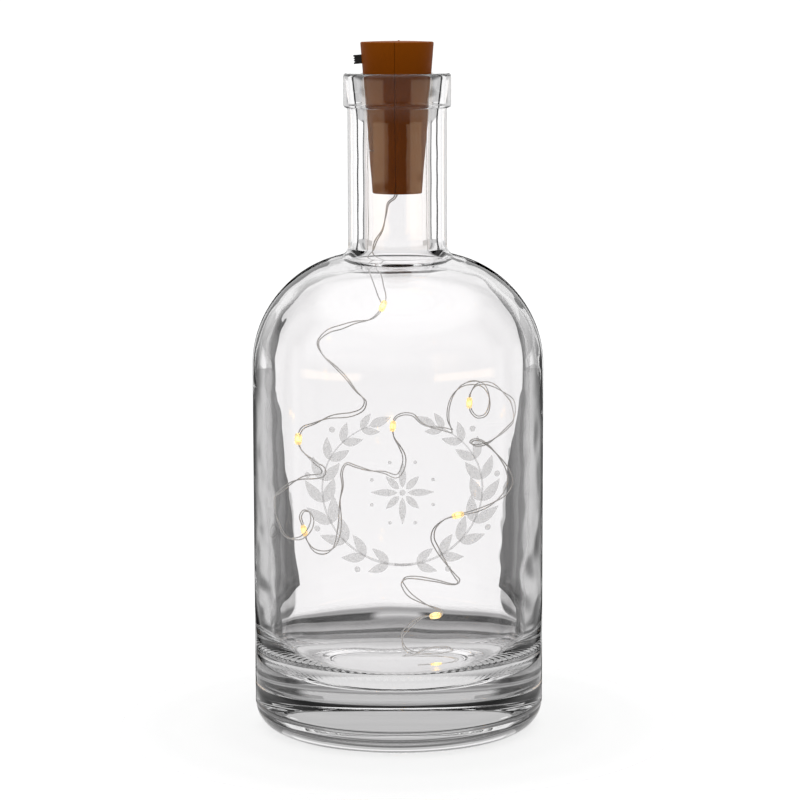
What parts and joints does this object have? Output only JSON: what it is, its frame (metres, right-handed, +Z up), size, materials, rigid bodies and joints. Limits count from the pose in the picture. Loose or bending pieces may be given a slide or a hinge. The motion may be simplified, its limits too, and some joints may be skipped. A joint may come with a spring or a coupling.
{
  "type": "bottle light",
  "caption": "Clear thick-walled glass bottle with a tapered stopper that houses button cells and a slide switch, and a fine wire string of warm lights hanging inside.",
  "frame": {"origin": "middle of the bottle's foot, on the plane it stands on", "axes": "+Z up along the bottle's axis; the switch and the cell door face about -X; the side seen in the picture faces -Y"},
  "size_m": [0.085, 0.085, 0.2007],
  "materials": {
    "glass": "clear, polished",
    "stopper_plastic": "satin caramel brown",
    "black_plastic": "satin",
    "nickel": "bright plated",
    "cell_steel": "bright",
    "board_laminate": "solder mask",
    "ceramic": "matte",
    "gland_rubber": "matte",
    "black_sleeve": "satin",
    "red_sleeve": "satin",
    "silver_wire": "enamelled bright wire",
    "light_resin": "clear cast",
    "light_chip": "yellow phosphor"
  },
  "bodies": {
    "bottle": {"bottle": "glass", "string_wire_1": "silver_wire", "string_wire_2": "silver_wire", "string_wire_3": "silver_wire", "string_wire_4": "silver_wire", "string_wire_5": "silver_wire", "string_wire_6": "silver_wire", "string_wire_7": "silver_wire", "string_wire_8": "silver_wire", "string_wire_9": "silver_wire", "light_drop_1": "light_resin", "light_drop_2": "light_resin", "light_drop_3": "light_resin", "light_drop_4": "light_resin", "light_drop_5": "light_resin", "light_drop_6": "light_resin", "light_drop_7": "light_resin", "light_drop_8": "light_resin", "light_chip_1": "light_chip", "light_chip_2": "light_chip", "light_chip_3": "light_chip", "light_chip_4": "light_chip", "light_chip_5": "light_chip", "light_chip_6": "light_chip", "light_chip_7": "light_chip", "light_chip_8": "light_chip"},
    "stopper": {"stopper_shell_left": "stopper_plastic", "stopper_shell_right": "stopper_plastic", "battery_door": "stopper_plastic", "button_cell_1": "cell_steel", "button_cell_2": "cell_steel", "button_cell_3": "cell_steel", "positive_contact": "nickel", "negative_leaf_contact": "nickel", "switch_can": "nickel", "switch_base": "black_plastic", "switch_terminal_1": "nickel", "switch_terminal_2": "nickel", "switch_terminal_3": "nickel", "circuit_board": "board_laminate", "resistor": "ceramic", "wire_gland": "gland_rubber", "feed_lead": "black_sleeve", "negative_lead": "black_sleeve", "positive_lead": "red_sleeve"},
    "switch_knob": {"switch_knob": "black_plastic"}
  },
  "joints": [
    {"name": "stopper_lift", "type": "slide", "parent": "bottle", "child": "stopper", "axis": [0, 0, 1], "range_m": [0, 0.045], "deforming": ["string_wire_1"]},
    {"name": "switch_slide", "type": "slide", "parent": "stopper", "child": "switch_knob", "axis": [0.0781, -0.0053, -0.9969], "range_m": [0, 0.002]}
  ]
}
